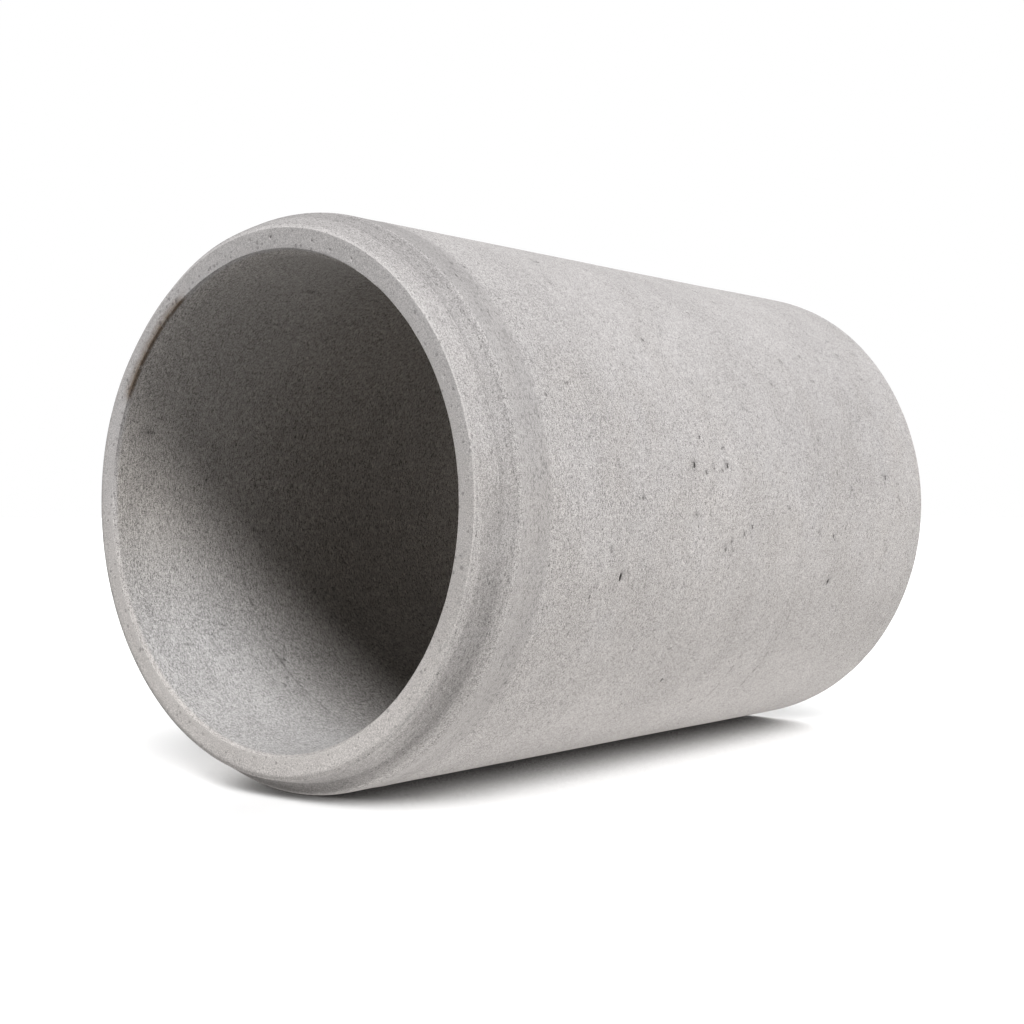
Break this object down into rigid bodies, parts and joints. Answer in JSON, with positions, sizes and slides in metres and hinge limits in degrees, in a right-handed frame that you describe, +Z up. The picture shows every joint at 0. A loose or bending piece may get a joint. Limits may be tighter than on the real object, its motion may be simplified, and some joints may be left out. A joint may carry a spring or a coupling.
{
  "type": "concrete sewer pipe",
  "caption": "Cast concrete sewer pipe lying on its side, with a round bore, a stepped tongue end and a matching grooved end.",
  "frame": {"origin": "on the ground under the middle of the pipe: the bottom centre of the bounding box", "axes": "+X along the bore, from the tongue (spigot) end at -X to the grooved (socket) end at +X; +Z up, with the pipe lying on its side"},
  "size_m": [1.046, 0.7098, 0.7098],
  "materials": {
    "concrete": "dry matt grey cast concrete, fine-grained, with small air holes and faint rings from the mould"
  },
  "bodies": {
    "root": {"concrete_pipe": "concrete"}
  },
  "joints": []
}
